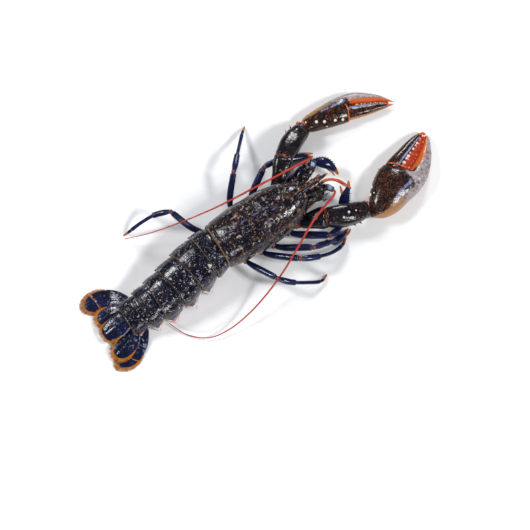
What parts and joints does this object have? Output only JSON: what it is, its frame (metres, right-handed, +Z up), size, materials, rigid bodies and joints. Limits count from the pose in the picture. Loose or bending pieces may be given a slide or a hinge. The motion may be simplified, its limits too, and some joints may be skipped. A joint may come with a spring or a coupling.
{
  "type": "european lobster",
  "caption": "Life-size still model of a clawed lobster at rest, claws ahead, tail straight and fan spread, long feelers swept back over the body.",
  "frame": {"origin": "middle of the bottom of the animal's box, on the floor it rests on", "axes": "+X forward, from tail to claws; +Y to the animal's left; +Z up"},
  "size_m": [0.4178, 0.1916, 0.0621],
  "materials": {
    "shell": "glossy blue-black shell with cream and orange flecks",
    "tail": "glossy blue-black shell, speckled, with white flap tips",
    "fan": "satin navy plates edged with gold",
    "leg": "glossy navy with orange joints",
    "claw": "glossy mottled brown-black, with cream outer faces and orange teeth",
    "feeler": "satin red, finely ringed",
    "eye": "glossy black",
    "belly": "matt pinkish cream"
  },
  "bodies": {
    "root": {"carapace": "shell", "thorax_underside": "belly", "mouthparts": "belly", "telson": "fan", "abdomen_1": "tail", "abdomen_2": "tail", "abdomen_3": "tail", "abdomen_4": "tail", "abdomen_5": "tail", "abdomen_6": "tail", "endopod_left": "fan", "exopod_left": "fan", "eyestalk_left": "shell", "eye_left": "eye", "antenna_base_left": "leg", "antennule_left": "feeler", "maxilliped_left": "leg", "claw_base_left": "leg", "antenna_left_1": "feeler", "antenna_left_2": "feeler", "antenna_left_3": "feeler", "claw_arm_left": "claw", "claw_wrist_left": "claw", "claw_palm_left": "claw", "claw_finger_left": "claw", "leg_2_left_upper": "leg", "leg_2_left_lower": "leg", "leg_3_left_upper": "leg", "leg_3_left_lower": "leg", "leg_4_left_upper": "leg", "leg_4_left_lower": "leg", "leg_5_left_upper": "leg", "leg_5_left_lower": "leg", "endopod_right": "fan", "exopod_right": "fan", "eyestalk_right": "shell", "eye_right": "eye", "antenna_base_right": "leg", "antennule_right": "feeler", "maxilliped_right": "leg", "claw_base_right": "leg", "antenna_right_1": "feeler", "antenna_right_2": "feeler", "antenna_right_3": "feeler", "antenna_right_4": "feeler", "claw_arm_right": "claw", "claw_wrist_right": "claw", "claw_palm_right": "claw", "claw_finger_right": "claw", "leg_2_right_upper": "leg", "leg_2_right_lower": "leg", "leg_3_right_upper": "leg", "leg_3_right_lower": "leg", "leg_4_right_upper": "leg", "leg_4_right_lower": "leg", "leg_5_right_upper": "leg", "leg_5_right_lower": "leg"}
  },
  "joints": []
}
